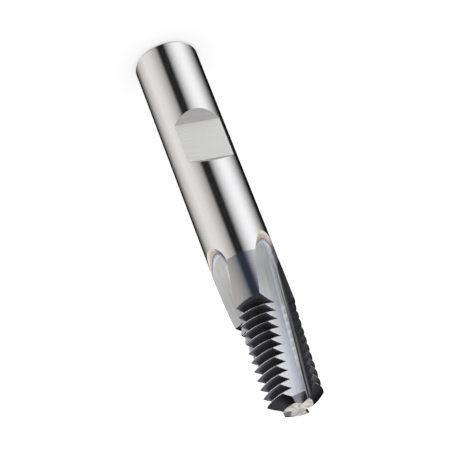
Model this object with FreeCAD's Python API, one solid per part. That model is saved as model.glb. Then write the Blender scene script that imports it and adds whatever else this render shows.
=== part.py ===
import FreeCAD, Part
import math
import os

# A solid carbide thread mill for tapered pipe thread, ground from one round bar.
# Frame in millimetres: the origin is the centre of the shank's end face, +Z points at the cutting end,
# and +X is square to the clamping flat.

# Shank
shank_diameter = 10.0
overall_length = 65.25
shank_chamfer = 0.3
flat_centre = 18.75
flat_length = 7.2
flat_height = 8.5
flat_end_slope = 45.0

# Thread rings
threads_per_inch = 18.0
ring_count = 11
tip_crest_diameter = 9.0
taper_on_diameter = 1.0 / 16.0
flank_angle = 30.0
crest_flat = 0.085
root_flat = 0.054
nose_length = 1.2

# Lands and the relief behind each cutting edge
flute_count = 3
flute_lead = 163.0
edge_azimuth = 94.2
relief_drop = 0.66
relief_span = 54.5
relief_lead = 110.0

# Flutes
rake_angle = 8.0
heel_wall_turn = 13.4
heel_wall_twist = 0.63
heel_wall_depth = 2.37
core_taper = 0.057
flute_bottom_radius = 0.45
runout_behind_rings = 6.8
runout_length = 7.6
runout_radius = 24.5
runout_widening = 0.2
runout_turn = 20.0

# Gashes in the end face
gash_angle = 43.0
gash_turn = -5.0
gash_wall_turn = 80.0
gash_web_radius = 1.2
gash_web_turn = 11.0

# Values that follow from the driving dimensions
inch = 25.4
pitch = inch / threads_per_inch
shank_radius = shank_diameter / 2
flank_slope = 1.0 / math.tan(math.radians(flank_angle))
thread_height = (pitch - crest_flat - root_flat) / 2 * flank_slope
last_crest = overall_length - nose_length
first_crest = last_crest - (ring_count - 1) * pitch
land_pitch = 360.0 / flute_count
turn_per_mm = 360.0 / flute_lead
relief_rise = math.cos(math.radians(relief_lead)) - math.cos(math.radians(relief_lead + relief_span))
relief_offset = relief_drop / relief_rise
stock_radius = max(shank_radius, tip_crest_diameter / 2 + ring_count * pitch * taper_on_diameter / 2) + pitch / 2
cutter_reach = 2 * stock_radius
full_depth_start = first_crest - runout_behind_rings


def on_circle(radius, azimuth):
    """Point at a radius and an azimuth in degrees, as a pair."""
    angle = math.radians(azimuth)
    return radius * math.cos(angle), radius * math.sin(angle)


def edge_turn(z):
    """Azimuth of the first land's cutting edge at height z: it follows the flute's helix."""
    return edge_azimuth + turn_per_mm * (z - last_crest)


def crest_radius(z):
    """Radius of the cone that the ring crests touch at the cutting edges."""
    return tip_crest_diameter / 2 + (last_crest - z) * taper_on_diameter / 2


def root_between(upper_crest):
    """Middle and radius of the root flat that lies one ring towards the tip from a crest height."""
    near = crest_radius(upper_crest)
    far = crest_radius(upper_crest + pitch)
    middle = upper_crest + pitch / 2 + (near - far) / (2 * flank_slope)
    return middle, (near + far) / 2 - thread_height


def relieved(radius):
    """Distance from the relief axis of a point that lies at a radius on the cutting edge."""
    along = 2 * radius * relief_offset * math.cos(math.radians(relief_lead))
    return math.sqrt(radius ** 2 + relief_offset ** 2 - along)


def relief_cutter(points, land_turn):
    """Revolve a profile of (radius at the cutting edge, height) about the relief axis of one land.

    The axis lies beside the tool's own, ahead of the cutting edge, so the profile sinks from the
    cutting edge and levels out near the heel. The sweep starts and ends inside the flutes.
    """
    behind = 6.0
    sweep = 84.0
    axis_x, axis_y = on_circle(relief_offset, land_turn + relief_lead)
    corners = [FreeCAD.Vector(relieved(radius), 0, height) for radius, height in points]
    face = Part.Face(Part.makePolygon(corners + corners[:1]))
    solid = face.revolve(FreeCAD.Vector(0, 0, 0), FreeCAD.Vector(0, 0, 1), sweep)
    solid.rotate(FreeCAD.Vector(0, 0, 0), FreeCAD.Vector(0, 0, 1), land_turn - behind - sweep)
    solid.translate(FreeCAD.Vector(axis_x, axis_y, 0))
    return solid


def first_groove_profile():
    """Shank side of the first groove: half the root flat and the flank that runs out of the shank."""
    middle, root = root_between(first_crest - pitch)
    flank_foot = middle - root_flat / 2
    rise = cutter_reach - root
    return [(root, middle), (root, flank_foot), (cutter_reach, flank_foot - rise / flank_slope),
            (cutter_reach, middle)]


def ring_profile(crest):
    """Both flanks of one ring and half of the root flat on each side."""
    upper, upper_root = root_between(crest - pitch)
    lower, lower_root = root_between(crest)
    top = crest_radius(crest)
    return [(upper_root, upper), (upper_root, upper + root_flat / 2), (top, crest - crest_flat / 2),
            (top, crest + crest_flat / 2), (lower_root, lower - root_flat / 2), (lower_root, lower),
            (cutter_reach, lower), (cutter_reach, upper)]


def nose_profile():
    """The last ring, whose outer flank runs on to the end face."""
    upper, upper_root = root_between(last_crest - pitch)
    top = crest_radius(last_crest)
    past_end = overall_length + crest_flat
    nose = top - (past_end - last_crest - crest_flat / 2) * flank_slope
    return [(upper_root, upper), (upper_root, upper + root_flat / 2), (top, last_crest - crest_flat / 2),
            (top, last_crest + crest_flat / 2), (nose, past_end), (cutter_reach, past_end),
            (cutter_reach, upper)]


def thread_cutters():
    """One relieved cutter for each ring on each land."""
    cutters = []
    for land in range(flute_count):
        start = land * land_pitch
        cutters.append(relief_cutter(first_groove_profile(), start + edge_turn(first_crest - pitch)))
        for ring in range(ring_count - 1):
            crest = first_crest + ring * pitch
            cutters.append(relief_cutter(ring_profile(crest), start + edge_turn(crest)))
        cutters.append(relief_cutter(nose_profile(), start + edge_turn(last_crest)))
    return cutters


def flute_section(z):
    """Closed outline of a flute at height z: heel wall, rounded bottom, rake face and an outer chord.

    It is drawn with the cutting edge on the X axis, lifted out of the bar past the full depth,
    and turned to its place on the helix. From the tip towards the shank the core grows and the
    heel wall leans over, and in the run-out the bottom widens.
    """
    above = max(0.0, full_depth_start - z)
    lift = runout_radius - math.sqrt(runout_radius ** 2 - above ** 2)
    bottom = flute_bottom_radius + runout_widening * above ** 2
    rake_offset = tip_crest_diameter / 2 * math.sin(math.radians(rake_angle))
    wall_depth = heel_wall_depth + core_taper * (last_crest - z)
    wall_turn = heel_wall_turn + heel_wall_twist * (last_crest - z)
    wall_x, wall_y = on_circle(1.0, wall_turn)
    rake_x, rake_y = on_circle(1.0, rake_angle + 90.0)
    wall_reach = wall_depth + bottom
    rake_reach = bottom - rake_offset
    spread = wall_x * rake_y - wall_y * rake_x
    centre_x = (wall_reach * rake_y - rake_reach * wall_y) / spread
    centre_y = (rake_reach * wall_x - wall_reach * rake_x) / spread
    wall_foot = (centre_x - bottom * wall_x, centre_y - bottom * wall_y)
    rake_foot = (centre_x - bottom * rake_x, centre_y - bottom * rake_y)
    middle_x, middle_y = on_circle(1.0, (wall_turn + rake_angle + 90.0) / 2)
    bottom_point = (centre_x - bottom * middle_x, centre_y - bottom * middle_y)
    wall_end = (wall_foot[0] - cutter_reach * wall_y, wall_foot[1] + cutter_reach * wall_x)
    rake_end = (rake_foot[0] + cutter_reach * rake_y, rake_foot[1] - cutter_reach * rake_x)
    shift_x, shift_y = on_circle(lift, runout_turn)
    spots = []
    for x, y in (wall_end, wall_foot, bottom_point, rake_foot, rake_end):
        spots.append(FreeCAD.Vector(x + shift_x, y + shift_y, z))
    edges = [Part.makeLine(spots[0], spots[1]), Part.Arc(spots[1], spots[2], spots[3]).toShape(),
             Part.makeLine(spots[3], spots[4]), Part.makeLine(spots[4], spots[0])]
    wire = Part.Wire(edges)
    wire.rotate(FreeCAD.Vector(0, 0, 0), FreeCAD.Vector(0, 0, 1), edge_turn(z))
    return wire


def flute_cutters():
    """Lofts through the flute's sections, from past the end face to the end of the run-out."""
    straight_steps = 12
    runout_steps = 8
    top = overall_length + pitch
    heights = [full_depth_start - runout_length * (1 - step / runout_steps) for step in range(runout_steps)]
    for step in range(straight_steps + 1):
        heights.append(full_depth_start + (top - full_depth_start) * step / straight_steps)
    loft = Part.makeLoft([flute_section(z) for z in heights], True, False)
    return turned_copies(loft)


def half_space(normal, point):
    """A large block that fills the side of a plane that its normal points to."""
    size = 4 * stock_radius
    block = Part.makeBox(size, size, size, FreeCAD.Vector(-size / 2, -size / 2, 0))
    block.Placement = FreeCAD.Placement(point, FreeCAD.Rotation(FreeCAD.Vector(0, 0, 1), normal))
    return block


def gash_cutters():
    """Wedges that open the end face between the lands, each with a sloping floor and an upright wall."""
    edge = edge_turn(overall_length)
    web = FreeCAD.Vector(*on_circle(gash_web_radius, edge + gash_web_turn), overall_length)
    flat_part = math.cos(math.radians(gash_angle))
    floor_normal = FreeCAD.Vector(*on_circle(flat_part, edge + gash_turn), math.sin(math.radians(gash_angle)))
    wall_normal = FreeCAD.Vector(*on_circle(1.0, edge + gash_wall_turn), 0)
    wedge = half_space(floor_normal, web).common(half_space(wall_normal, web))
    return turned_copies(wedge)


def turned_copies(shape):
    """The shape once for each flute."""
    copies = []
    for land in range(flute_count):
        copy = shape.copy()
        copy.rotate(FreeCAD.Vector(0, 0, 0), FreeCAD.Vector(0, 0, 1), land * land_pitch)
        copies.append(copy)
    return copies


def bar():
    """Round bar: the shank with its end chamfer, and stock for the rings."""
    step, _ = root_between(first_crest - pitch)
    outline = [(0, 0), (shank_radius - shank_chamfer, 0), (shank_radius, shank_chamfer),
               (shank_radius, step), (stock_radius, step), (stock_radius, overall_length),
               (0, overall_length)]
    corners = [FreeCAD.Vector(x, 0, z) for x, z in outline]
    face = Part.Face(Part.makePolygon(corners + corners[:1]))
    return face.revolve(FreeCAD.Vector(0, 0, 0), FreeCAD.Vector(0, 0, 1), 360)


def flat_cutter():
    """Clamping flat with sloping ends, across the shank."""
    level = flat_height - shank_radius
    depth = stock_radius - level
    run = depth / math.tan(math.radians(flat_end_slope))
    low = flat_centre - flat_length / 2
    high = flat_centre + flat_length / 2
    outline = [(level, low), (level, high), (level + depth, high + run), (level + depth, low - run)]
    corners = [FreeCAD.Vector(x, -shank_diameter, z) for x, z in outline]
    face = Part.Face(Part.makePolygon(corners + corners[:1]))
    return face.extrude(FreeCAD.Vector(0, 2 * shank_diameter, 0))


def thread_mill():
    """The finished tool: flutes, threads, gashes and the flat are cut from the bar in turn."""
    tool = bar().cut(flute_cutters())
    tool = tool.cut(thread_cutters())
    tool = tool.cut(gash_cutters())
    tool = tool.cut(flat_cutter())
    return max(tool.Solids, key=lambda solid: solid.Volume)


os.makedirs("parts", exist_ok=True)
body = thread_mill()
body.exportStep("parts/thread_mill.step")
print("volume", round(body.Volume, 2), "valid", body.isValid(), "faces", len(body.Faces))
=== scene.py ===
import math

import bpy
from mathutils import Matrix, Vector


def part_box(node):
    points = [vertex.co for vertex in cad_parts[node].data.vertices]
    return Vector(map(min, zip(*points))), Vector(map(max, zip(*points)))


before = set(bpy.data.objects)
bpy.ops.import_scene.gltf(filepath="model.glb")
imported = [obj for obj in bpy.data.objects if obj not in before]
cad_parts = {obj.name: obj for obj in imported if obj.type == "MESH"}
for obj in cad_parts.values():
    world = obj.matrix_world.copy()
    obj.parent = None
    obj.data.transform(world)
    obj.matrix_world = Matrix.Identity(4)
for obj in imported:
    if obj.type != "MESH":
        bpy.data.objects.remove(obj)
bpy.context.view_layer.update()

# The tool itself: one bar of sintered carbide. The shank is ground to a mirror and the clamping flat is
# ground across. The cutting end is ground with a form wheel and then coated, and the coating fades out
# in the ends of the flutes.
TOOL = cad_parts["thread_mill"]
_, high_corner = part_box("thread_mill")
MILLIMETRES = 1000.0
SHANK_RADIUS = high_corner.y * MILLIMETRES
TIP = high_corner.z * MILLIMETRES


class Nodes:
    """Short calls for placing and joining shader nodes in one tree."""

    def __init__(self, tree):
        self.tree = tree

    def new(self, kind, **values):
        """A node of a kind, with its settings."""
        node = self.tree.nodes.new(kind)
        for name, value in values.items():
            setattr(node, name, value)
        return node

    def feed(self, node, inputs):
        """Joins an output to each input socket, or sets the socket's own value."""
        for name, value in inputs.items():
            if isinstance(value, bpy.types.NodeSocket):
                self.tree.links.new(value, node.inputs[name])
            else:
                node.inputs[name].default_value = value
        return node

    def math(self, operation, first, second=0.0, third=0.0):
        """The result of one arithmetic step on numbers or sockets."""
        node = self.new("ShaderNodeMath", operation=operation)
        return self.feed(node, {0: first, 1: second, 2: third}).outputs[0]

    def plus(self, first, second):
        """The sum of two numbers."""
        return self.math("ADD", first, second)

    def minus(self, first, second):
        """The first number less the second."""
        return self.math("SUBTRACT", first, second)

    def times(self, first, second):
        """The product of two numbers, which is where both of two masks hold."""
        return self.math("MULTIPLY", first, second)

    def outside(self, mask):
        """What a mask leaves of 1."""
        return self.minus(1.0, mask)

    def ramp(self, value, low, high):
        """0 below low, 1 above high, and a smooth rise between them."""
        node = self.new("ShaderNodeMapRange", interpolation_type="SMOOTHSTEP")
        return self.feed(node, {0: value, 1: low, 2: high, 3: 0.0, 4: 1.0}).outputs[0]

    def mix(self, share, first, second):
        """A colour between two, by a share from 0 to 1."""
        node = self.new("ShaderNodeMix", data_type="RGBA")
        return self.feed(node, {0: share, 6: first, 7: second}).outputs[2]

    def blend(self, share, first, second):
        """A number between two, by a share from 0 to 1."""
        node = self.new("ShaderNodeMix", data_type="FLOAT")
        return self.feed(node, {0: share, 2: first, 3: second}).outputs[0]

    def stops(self, value, stops):
        """A colour looked up from stops of place and colour, or of place and brightness, along a value."""
        node = self.new("ShaderNodeValToRGB")
        ramp = node.color_ramp
        while len(ramp.elements) < len(stops):
            ramp.elements.new(0.5)
        for element, (place, tint) in zip(ramp.elements, stops):
            element.position = place
        for element, (place, tint) in zip(ramp.elements, stops):
            element.color = tint if isinstance(tint, tuple) else (tint, tint, tint, 1.0)
        return self.feed(node, {0: value}).outputs[0]

    def noise(self, first, second, third, detail):
        """Cloudy values round 0.5 at a place made of three pairs, each a measure and its density."""
        numbers = {}
        for number, (measure, density) in enumerate((first, second, third)):
            numbers[number] = self.times(measure, density)
        place = self.feed(self.new("ShaderNodeCombineXYZ"), numbers).outputs[0]
        node = self.new("ShaderNodeTexNoise")
        return self.feed(node, {"Vector": place, "Scale": 1.0, "Detail": detail}).outputs[0]

    def scaled(self, vector, factor):
        """A vector or colour times a number."""
        node = self.new("ShaderNodeVectorMath", operation="SCALE")
        return self.feed(node, {0: vector, "Scale": factor}).outputs[0]

    def parts(self, vector):
        """The three numbers of a vector."""
        return self.feed(self.new("ShaderNodeSeparateXYZ"), {0: vector}).outputs


material = bpy.data.materials.new("ground_and_coated_carbide")
material.use_nodes = True
material.node_tree.nodes.clear()
nodes = Nodes(material.node_tree)

# Places on the tool in millimetres and degrees. "ahead" is the angle round the axis from the cutting edge
# of the nearest land, which follows the flutes' helix. "lean" is how far a surface faces the tip, and
# "turned" is how far it faces round the axis, both from -1 to 1.
EDGE_AZIMUTH = 94.2
EDGE_HEIGHT = 64.05
TURN_PER_MM = 360.0 / 163.0
LAND_SPACING = 120.0

x, y, z = nodes.parts(nodes.scaled(nodes.new("ShaderNodeTexCoord").outputs["Object"], MILLIMETRES))
radius = nodes.math("SQRT", nodes.plus(nodes.times(x, x), nodes.times(y, y)))
angle = nodes.math("ARCTAN2", y, x)
azimuth = nodes.math("DEGREES", angle)
edge = nodes.math("MULTIPLY_ADD", z, TURN_PER_MM, EDGE_AZIMUTH - EDGE_HEIGHT * TURN_PER_MM)
ahead = nodes.math("FLOORED_MODULO", nodes.minus(azimuth, edge), LAND_SPACING)
mesh_normal = nodes.new("ShaderNodeNewGeometry").outputs["Normal"]
facing_x, facing_y, lean = nodes.parts(mesh_normal)
turned = nodes.math("DIVIDE", nodes.minus(nodes.times(facing_y, x), nodes.times(facing_x, y)), radius)
steepness = nodes.math("ABSOLUTE", lean)

# Masks of the ground surfaces, each 1 on its surface and 0 elsewhere, with a narrow rise between. The pairs
# are where the rise starts and ends: heights and radii in millimetres, angles in degrees, or facings.
COATING_START = 40.8
COATING_EDGE = (COATING_START - 0.12, COATING_START + 0.12)
SHANK_SURFACE = (SHANK_RADIUS - 0.03, SHANK_RADIUS - 0.015)
ABOVE_FLAT = (30.0, 31.0)
RINGS_HEIGHT = (47.5, 47.8)
GASH_HEIGHT = (60.0, 60.5)
NOSE_HEIGHT = (TIP - 1.3, TIP - 1.2)
END_HEIGHT = (TIP - 0.05, TIP - 0.03)
SLOPE_LEAN = (0.4, 0.6)
FLANK_LEAN = (0.76, 0.80)
GASH_LEAN = (0.45, 0.6)
END_LEAN = (0.97, 0.99)
RAKE_TURN = (0.30, 0.70)
FILLET_TURN = (0.03, 0.15)
FILLET_NEAR_TIP = (58.0, 63.0)
FILLET_IN_RUNOUT = (39.5, 43.5)
FILLET_RUNOUT_SHARE = 0.35
CREST_AHEAD = (69.0, 72.0)
CREST_TURN = (0.2, 0.4)

on_cylinder = nodes.ramp(radius, *SHANK_SURFACE)
off_cylinder = nodes.outside(on_cylinder)
past_coating = nodes.ramp(z, *COATING_EDGE)
past_flat = nodes.ramp(z, *ABOVE_FLAT)
fluted = nodes.times(off_cylinder, past_flat)
flat = nodes.times(off_cylinder, nodes.outside(past_flat))
slope = nodes.times(flat, nodes.ramp(steepness, *SLOPE_LEAN))
rake = nodes.times(fluted, nodes.ramp(turned, *RAKE_TURN))
# The fillets carry a painted highlight, full near the tip and weaker in the run-out.
fillet_highlight = nodes.blend(nodes.ramp(z, *FILLET_NEAR_TIP), nodes.ramp(z, *FILLET_IN_RUNOUT), FILLET_RUNOUT_SHARE)
fillet_highlight = nodes.times(fillet_highlight, nodes.times(nodes.ramp(turned, *FILLET_TURN), off_cylinder))
ringed = nodes.ramp(z, *RINGS_HEIGHT)
flank = nodes.times(nodes.ramp(steepness, *FLANK_LEAN), ringed)
near_end = nodes.times(nodes.ramp(z, *GASH_HEIGHT), nodes.outside(flank))
gash = nodes.times(nodes.ramp(lean, *GASH_LEAN), near_end)
nose = nodes.times(flank, nodes.ramp(z, *NOSE_HEIGHT))
# The crests of the ringed lands carry a painted highlight.
crest_highlight = nodes.times(nodes.ramp(ahead, *CREST_AHEAD), nodes.times(ringed, off_cylinder))
crest_highlight = nodes.times(crest_highlight, nodes.outside(nodes.ramp(turned, *CREST_TURN)))
end_face = nodes.times(nodes.ramp(lean, *END_LEAN), nodes.ramp(z, *END_HEIGHT))

# The rake face is painted dark as shade, with a painted highlight just above the flute's bottom, whose radius
# shrinks towards the tip.
CORE_RADIUS_AT_SHANK_END = 6.22
CORE_TAPER = 0.06
ROOT_LINE_RISE = (0.22, 0.38)
ROOT_LINE_FALL = (0.42, 0.80)
above_core = nodes.plus(radius, nodes.math("MULTIPLY_ADD", z, CORE_TAPER, -CORE_RADIUS_AT_SHANK_END))
root_highlight = nodes.minus(nodes.ramp(above_core, *ROOT_LINE_RISE), nodes.ramp(above_core, *ROOT_LINE_FALL))

# Grinding marks: round the shank, across the flat, along the flutes, round the flanks, and in curls on the
# end face.
CURL_PER_MM = 0.45
END_MARK_CONTRAST = (0.30, 0.68)
shank_marks = nodes.noise((z, 7.0), (azimuth, 0.02), (0.0, 1.0), 2.0)
flat_marks = nodes.noise((z, 6.0), (y, 0.30), (4.0, 1.0), 4.0)
flute_marks = nodes.noise((ahead, 0.75), (radius, 3.0), (z, 0.08), 4.0)
flank_marks = nodes.noise((radius, 9.0), (azimuth, 0.04), (z, 1.0), 3.0)
curl = nodes.plus(angle, nodes.times(radius, CURL_PER_MM))
curl_x = nodes.math("COSINE", curl)
curl_y = nodes.math("SINE", curl)
curl_marks = nodes.noise((curl_x, 3.2), (curl_y, 3.2), (radius, 0.6), 3.0)
end_marks = nodes.ramp(curl_marks, *END_MARK_CONTRAST)

# The coating's thin edge in the ends of the flutes shows bands of interference colours. They follow the
# depth below the shank's surface, measured against the distance to the coating's start.
FILM_CREAM = (0.77, 0.745, 0.69, 1.0)
FILM_TAN = (0.62, 0.50, 0.39, 1.0)
FILM_PURPLE = (0.20, 0.17, 0.25, 1.0)
FILM_BLUE = (0.44, 0.54, 0.62, 1.0)
FILM_WHITE = (0.65, 0.71, 0.74, 1.0)
FLUTE_GREY = (0.51, 0.515, 0.520, 1.0)
SURFACE_MARGIN = 0.05
FILM_RAGGEDNESS = 0.03
LEAST_DISTANCE = 0.02
depth = nodes.minus(SHANK_RADIUS + SURFACE_MARGIN, radius)
film = nodes.math("DIVIDE", depth, nodes.math("MAXIMUM", nodes.minus(COATING_START, z), LEAST_DISTANCE))
ragged_film = nodes.plus(film, nodes.times(nodes.minus(flute_marks, 0.5), FILM_RAGGEDNESS))
film_colour = nodes.stops(ragged_film, [
    (0.06, FILM_CREAM), (0.13, FILM_TAN), (0.18, FILM_TAN), (0.23, FILM_PURPLE), (0.28, FILM_BLUE),
    (0.36, FILM_WHITE), (0.46, FLUTE_GREY)])

# The coated lands before the rings carry a painted reflection round the axis: pale grey, then navy where the
# tent's dark gap at the camera is mirrored, then a warmer grey.
COATED_PALE = (0.43, 0.432, 0.445, 1.0)
NAVY_REFLECTION = (0.27, 0.31, 0.44, 1.0)
COATED_LAND = (0.375, 0.373, 0.368, 1.0)
MIRRORED_GAP_AZIMUTH = 18.5
round_land = nodes.math("FLOORED_MODULO", nodes.minus(azimuth, MIRRORED_GAP_AZIMUTH - LAND_SPACING / 2), LAND_SPACING)
land_colour_and_reflection = nodes.stops(nodes.math("DIVIDE", round_land, LAND_SPACING), [
    (0.38, COATED_PALE), (0.46, NAVY_REFLECTION), (0.54, NAVY_REFLECTION), (0.62, COATED_LAND)])

# Colours of the bare shank, the flat and its sloping ends, the flutes, the rings, the nose and the end face,
# with painted shade, highlights and reflections on the flute walls, fillets, rake faces, crests and nose.
SHANK_STEEL = (0.722, 0.715, 0.710, 1.0)
FLAT_STEEL = (0.74, 0.73, 0.71, 1.0)
SLOPE_STEEL = (0.465, 0.455, 0.455, 1.0)
FLUTE_SHADE = (0.45, 0.46, 0.51, 1.0)
FLUTE_HIGHLIGHT = (0.63, 0.63, 0.66, 1.0)
FILLET_HIGHLIGHT = (0.80, 0.81, 0.84, 1.0)
RAKE_SHADE = (0.085, 0.085, 0.095, 1.0)
RAKE_ROOT_HIGHLIGHT = (0.34, 0.34, 0.36, 1.0)
CREST_HIGHLIGHT = (0.60, 0.60, 0.62, 1.0)
GASH_GREY = (0.32, 0.32, 0.35, 1.0)
RING_COATING = (0.118, 0.118, 0.134, 1.0)
NOSE_DARK_REFLECTION = (0.010, 0.010, 0.012, 1.0)
NOSE_DIM_REFLECTION = (0.034, 0.034, 0.042, 1.0)
END_STEEL = (0.84, 0.79, 0.76, 1.0)
WALL_LIT_AHEAD = (18.0, 60.0)
FILM_ENDS_HEIGHT = (45.0, 52.0)
NOSE_REFLECTION_LIFTS_AHEAD = (62.0, 96.0)
colour = nodes.mix(past_coating, SHANK_STEEL, land_colour_and_reflection)
colour = nodes.mix(flat, colour, FLAT_STEEL)
colour = nodes.mix(slope, colour, SLOPE_STEEL)
# The flute walls are painted with shade near the cutting edge and a painted highlight towards the heel.
wall_shade_and_highlight = nodes.mix(nodes.ramp(ahead, *WALL_LIT_AHEAD), FLUTE_SHADE, FLUTE_HIGHLIGHT)
colour = nodes.mix(fluted, colour, nodes.mix(nodes.ramp(z, *FILM_ENDS_HEIGHT), film_colour, wall_shade_and_highlight))
# Painted highlight on the fillets.
colour = nodes.mix(fillet_highlight, colour, FILLET_HIGHLIGHT)
# Painted shade on the rake faces, with a painted highlight at their roots.
colour = nodes.mix(rake, colour, nodes.mix(root_highlight, RAKE_SHADE, RAKE_ROOT_HIGHLIGHT))
# Painted highlight on the crests.
colour = nodes.mix(crest_highlight, colour, CREST_HIGHLIGHT)
colour = nodes.mix(gash, colour, GASH_GREY)
colour = nodes.mix(flank, colour, RING_COATING)
# The nose is painted darker than the rings' coating, a painted dark reflection that is near black close to
# the cutting edge.
colour = nodes.mix(nose, colour, nodes.mix(nodes.ramp(ahead, *NOSE_REFLECTION_LIFTS_AHEAD), NOSE_DARK_REFLECTION, NOSE_DIM_REFLECTION))
colour = nodes.mix(end_face, colour, END_STEEL)

# The marks darken and lighten the colour: faintly on the shank, most on the end face.
SHANK_MARK_STRENGTH = 0.12
FLAT_MARK_STRENGTH = 0.28
END_MARK_STRENGTH = 0.9
DARKEST_MARK = 0.6
MARK_RANGE = 0.8
marks = nodes.blend(SHANK_MARK_STRENGTH, 0.5, shank_marks)
marks = nodes.blend(flat, marks, nodes.blend(FLAT_MARK_STRENGTH, 0.5, flat_marks))
marks = nodes.blend(fluted, marks, flute_marks)
marks = nodes.blend(flank, marks, flank_marks)
marks = nodes.blend(end_face, marks, nodes.blend(END_MARK_STRENGTH, 0.5, end_marks))
marked = nodes.scaled(colour, nodes.math("MULTIPLY_ADD", marks, MARK_RANGE, DARKEST_MARK))

# Finish: a mirror on the shank, finely ground flutes and flat, and an end face left coarser.
SHANK_ROUGHNESS = 0.06
COATED_ROUGHNESS = 0.12
FLAT_ROUGHNESS = 0.38
FLUTE_ROUGHNESS = 0.36
FLANK_ROUGHNESS = 0.24
END_ROUGHNESS = 0.42
BARE_METALLIC = 0.98
COATED_METALLIC = 0.90
rough = nodes.blend(past_coating, SHANK_ROUGHNESS, COATED_ROUGHNESS)
rough = nodes.blend(flat, rough, FLAT_ROUGHNESS)
rough = nodes.blend(fluted, rough, FLUTE_ROUGHNESS)
rough = nodes.blend(flank, rough, FLANK_ROUGHNESS)
rough = nodes.blend(end_face, rough, END_ROUGHNESS)
coated = nodes.times(past_coating, nodes.outside(end_face))
metallic = nodes.blend(flank, nodes.blend(coated, BARE_METALLIC, COATED_METALLIC), COATED_METALLIC)

# The shank is a true cylinder, so its shine follows the direction away from the axis.
outward = nodes.feed(nodes.new("ShaderNodeCombineXYZ"), {0: x, 1: y, 2: 0.0}).outputs[0]
to_world = nodes.new("ShaderNodeVectorTransform", vector_type="NORMAL", convert_from="OBJECT",
                     convert_to="WORLD")
outward = nodes.feed(to_world, {0: outward}).outputs[0]
normal = nodes.new("ShaderNodeMix", data_type="VECTOR")
normal = nodes.feed(normal, {0: on_cylinder, 4: mesh_normal, 5: outward}).outputs[1]

shader = nodes.feed(nodes.new("ShaderNodeBsdfPrincipled"), {
    "Base Color": marked, "Roughness": rough, "Metallic": metallic, "Normal": normal})
nodes.feed(nodes.new("ShaderNodeOutputMaterial"), {0: shader.outputs[0]})
TOOL.data.materials.clear()
TOOL.data.materials.append(material)

# The stage's floor: a plain pale sheet that the tool stands on. It keeps the tool's shadow, it is lifted
# to white for the camera alone, and the tool doesn't mirror it.
FLOOR_REACH = 2.0
FLOOR_PALE = (0.8, 0.8, 0.8, 1.0)
FLOOR_LIFT = 0.30
WHITE = (1.0, 1.0, 1.0, 1.0)
floor_mesh = bpy.data.meshes.new("floor")
floor_corners = [(-FLOOR_REACH, -FLOOR_REACH, 0), (FLOOR_REACH, -FLOOR_REACH, 0),
                 (FLOOR_REACH, FLOOR_REACH, 0), (-FLOOR_REACH, FLOOR_REACH, 0)]
floor_mesh.from_pydata(floor_corners, [], [(0, 1, 2, 3)])
floor = bpy.data.objects.new("floor", floor_mesh)
bpy.context.scene.collection.objects.link(floor)
floor.visible_glossy = False

pale = bpy.data.materials.new("pale_floor")
pale.use_nodes = True
pale.node_tree.nodes.clear()
nodes = Nodes(pale.node_tree)
seen = nodes.new("ShaderNodeLightPath").outputs["Is Camera Ray"]
matte = nodes.feed(nodes.new("ShaderNodeBsdfDiffuse"), {0: FLOOR_PALE})
lift = nodes.feed(nodes.new("ShaderNodeEmission"), {0: WHITE, 1: nodes.times(seen, FLOOR_LIFT)})
both = nodes.feed(nodes.new("ShaderNodeAddShader"), {0: matte.outputs[0], 1: lift.outputs[0]})
nodes.feed(nodes.new("ShaderNodeOutputMaterial"), {0: both.outputs[0]})
floor_mesh.materials.append(pale)

# The light tent round the tool, which is what its mirror surfaces show: bright cloths at the camera's left
# and right, a gap at the camera's place, another behind the tool, and a cloth overhead. "aside" runs from 0
# at the camera's side to 1 behind the tool. All other light is plain white.
CAMERA_AZIMUTH = 18.5
BACK_CLOTH_HEIGHT = (-0.54, -0.36)
BACK_CLOTH_ASIDE = (0.3, 0.4)
OVERHEAD_HEIGHT = (0.0, 0.5)
LEFT_TINT = (1.0, 0.986, 0.974, 1.0)
RIGHT_TINT = (0.985, 0.995, 1.015, 1.0)
world = bpy.data.worlds.new("light_tent")
bpy.context.scene.world = world
world.use_nodes = True
world.node_tree.nodes.clear()
nodes = Nodes(world.node_tree)
way_x, way_y, way_z = nodes.parts(nodes.new("ShaderNodeTexCoord").outputs["Generated"])
from_camera = nodes.minus(nodes.math("ARCTAN2", way_y, way_x), math.radians(CAMERA_AZIMUTH))
wrapped = nodes.math("WRAP", from_camera, math.pi, -math.pi)
aside = nodes.math("DIVIDE", nodes.math("ABSOLUTE", wrapped), math.pi)
left_cloth = nodes.stops(aside, [
    (0.05, 0.01), (0.08, 0.20), (0.10, 0.40), (0.14, 0.56), (0.21, 0.76), (0.30, 0.96), (0.44, 1.03),
    (0.54, 0.86), (0.63, 0.66), (0.74, 0.26), (0.84, 0.0)])
right_cloth = nodes.stops(aside, [
    (0.055, 0.01), (0.085, 0.20), (0.13, 0.56), (0.18, 0.86), (0.25, 1.14), (0.33, 1.27), (0.40, 1.24),
    (0.48, 1.03), (0.58, 0.62), (0.68, 0.20), (0.76, 0.0)])
back_cloth = nodes.stops(aside, [
    (0.35, 1.28), (0.43, 1.22), (0.50, 1.12), (0.56, 0.97), (0.62, 0.95), (0.67, 0.88), (0.72, 0.72),
    (0.77, 0.38), (0.84, 0.03)])
overhead_cloth = nodes.stops(way_z, [
    (0.0, 0.03), (0.30, 0.15), (0.50, 0.52), (0.68, 0.95), (0.82, 1.10), (0.90, 0.85), (0.95, 0.50),
    (1.0, 0.12)])
on_right = nodes.math("LESS_THAN", wrapped, 0.0)
low_cloths = nodes.mix(on_right, left_cloth, right_cloth)
raised = nodes.times(nodes.ramp(way_z, *BACK_CLOTH_HEIGHT), nodes.ramp(aside, *BACK_CLOTH_ASIDE))
side_cloths = nodes.mix(raised, low_cloths, back_cloth)
side_tint = nodes.mix(on_right, LEFT_TINT, RIGHT_TINT)
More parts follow.
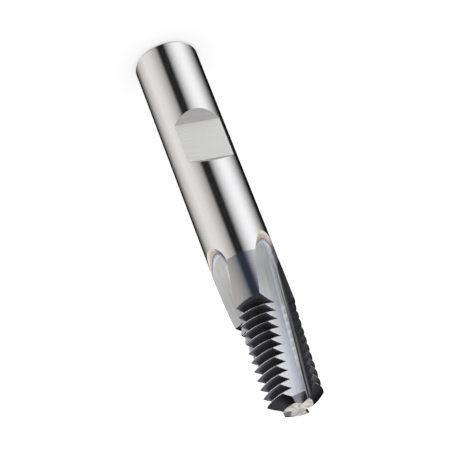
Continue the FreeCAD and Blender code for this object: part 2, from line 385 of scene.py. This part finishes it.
tinted = nodes.feed(nodes.new("ShaderNodeVectorMath", operation="MULTIPLY"), {0: side_cloths, 1: side_tint})
tent = nodes.mix(nodes.ramp(way_z, *OVERHEAD_HEIGHT), tinted.outputs[0], overhead_cloth)
mirrored = nodes.new("ShaderNodeLightPath").outputs["Is Glossy Ray"]
light = nodes.feed(nodes.new("ShaderNodeBackground"), {0: nodes.mix(mirrored, WHITE, tent), 1: 1.0})
nodes.feed(nodes.new("ShaderNodeOutputWorld"), {0: light.outputs[0]})

# The camera: a long lens above the cutting end, turned so that the shank points up to the left. Its tilt
# and lean are in degrees, and its offset is the shank's end in the camera's own frame, in millimetres.
CAMERA_TILT = math.radians(32.99)
CAMERA_LEAN = math.radians(21.13)
CAMERA_OFFSET = Vector((-9.8062, -25.951, 350.959)) / MILLIMETRES
FOCAL_PIXELS = 2251.24
FRAME_PIXELS = 458
SENSOR_WIDTH = 36.0
axis_seen = Vector((math.sin(CAMERA_LEAN) * math.cos(CAMERA_TILT),
                    math.cos(CAMERA_LEAN) * math.cos(CAMERA_TILT),
                    -math.sin(CAMERA_TILT)))
towards = Vector((0, 0, -1))
front_seen = (towards - towards.dot(axis_seen) * axis_seen).normalized()
side_seen = axis_seen.cross(front_seen)
turn = math.radians(-CAMERA_AZIMUTH)
x_seen = math.cos(turn) * front_seen + math.sin(turn) * side_seen
y_seen = -math.sin(turn) * front_seen + math.cos(turn) * side_seen
to_part = Matrix((x_seen, y_seen, axis_seen))
rightward = to_part @ Vector((1, 0, 0))
upward = to_part @ Vector((0, -1, 0))
backward = to_part @ Vector((0, 0, -1))
camera_data = bpy.data.cameras.new("camera")
camera_data.sensor_width = SENSOR_WIDTH
camera_data.lens = FOCAL_PIXELS / FRAME_PIXELS * SENSOR_WIDTH
camera = bpy.data.objects.new("camera", camera_data)
bpy.context.scene.collection.objects.link(camera)
camera_turn = Matrix((rightward, upward, backward)).transposed().to_4x4()
camera.matrix_world = Matrix.Translation(-(to_part @ CAMERA_OFFSET)) @ camera_turn
bpy.context.scene.camera = camera
bpy.context.scene.view_settings.view_transform = "Standard"
